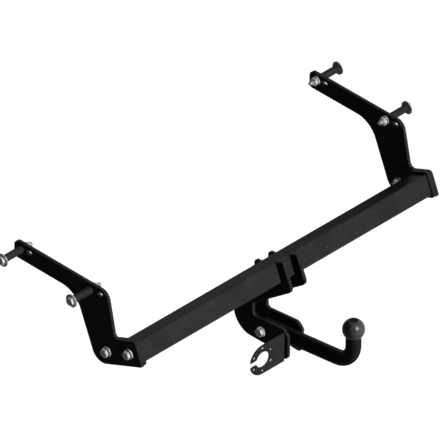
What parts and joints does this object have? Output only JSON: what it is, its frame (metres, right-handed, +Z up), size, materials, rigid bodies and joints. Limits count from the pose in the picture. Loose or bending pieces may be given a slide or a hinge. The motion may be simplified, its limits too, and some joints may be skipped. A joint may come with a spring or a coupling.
{
  "type": "towbar",
  "caption": "Car towbar: square crossbeam with bolted side arms for the chassis rails, and a middle bracket that carries a swan-neck tow ball and a socket plate.",
  "frame": {"origin": "on the car's centre plane, midway between the front and rear rail bolts and level with them", "axes": "+X to the car's right, +Y to its front, +Z up; the tow ball points up at the rear (-Y)"},
  "size_m": [1.0338, 0.601, 0.3384],
  "materials": {
    "powder_coated_steel": "black powder coat, semi-gloss",
    "forged_neck_steel": "black coated neck, ball polished by use",
    "zinc_plated_steel": "bright zinc plating",
    "dull_zinc_steel": "dull zinc plating"
  },
  "bodies": {
    "root": {"crossbeam": "powder_coated_steel", "right_end_flange": "powder_coated_steel", "left_end_flange": "powder_coated_steel", "right_side_arm": "powder_coated_steel", "left_side_arm": "powder_coated_steel", "right_bracket_plate": "powder_coated_steel", "left_bracket_plate": "powder_coated_steel", "tow_ball_neck": "forged_neck_steel", "socket_plate": "powder_coated_steel", "right_rail_bolts": "zinc_plated_steel", "left_rail_bolts": "zinc_plated_steel", "right_rail_large_washers": "dull_zinc_steel", "left_rail_large_washers": "dull_zinc_steel", "right_rail_flat_washers": "zinc_plated_steel", "left_rail_flat_washers": "zinc_plated_steel", "right_rail_spring_washers": "zinc_plated_steel", "left_rail_spring_washers": "zinc_plated_steel", "right_rail_nuts": "zinc_plated_steel", "left_rail_nuts": "zinc_plated_steel", "right_front_spacer": "dull_zinc_steel", "left_front_spacer": "dull_zinc_steel", "right_rear_spacer": "dull_zinc_steel", "left_rear_spacer": "dull_zinc_steel", "right_foot_bolts": "zinc_plated_steel", "left_foot_bolts": "zinc_plated_steel", "right_foot_flat_washers": "zinc_plated_steel", "left_foot_flat_washers": "zinc_plated_steel", "right_foot_spring_washers": "zinc_plated_steel", "left_foot_spring_washers": "zinc_plated_steel", "right_foot_nut": "zinc_plated_steel", "left_foot_nut": "zinc_plated_steel", "right_beam_captive_nut": "zinc_plated_steel", "left_beam_captive_nut": "zinc_plated_steel", "neck_bolts": "zinc_plated_steel", "neck_flat_washers": "zinc_plated_steel", "neck_spring_washers": "zinc_plated_steel", "neck_nuts": "zinc_plated_steel"}
  },
  "joints": []
}
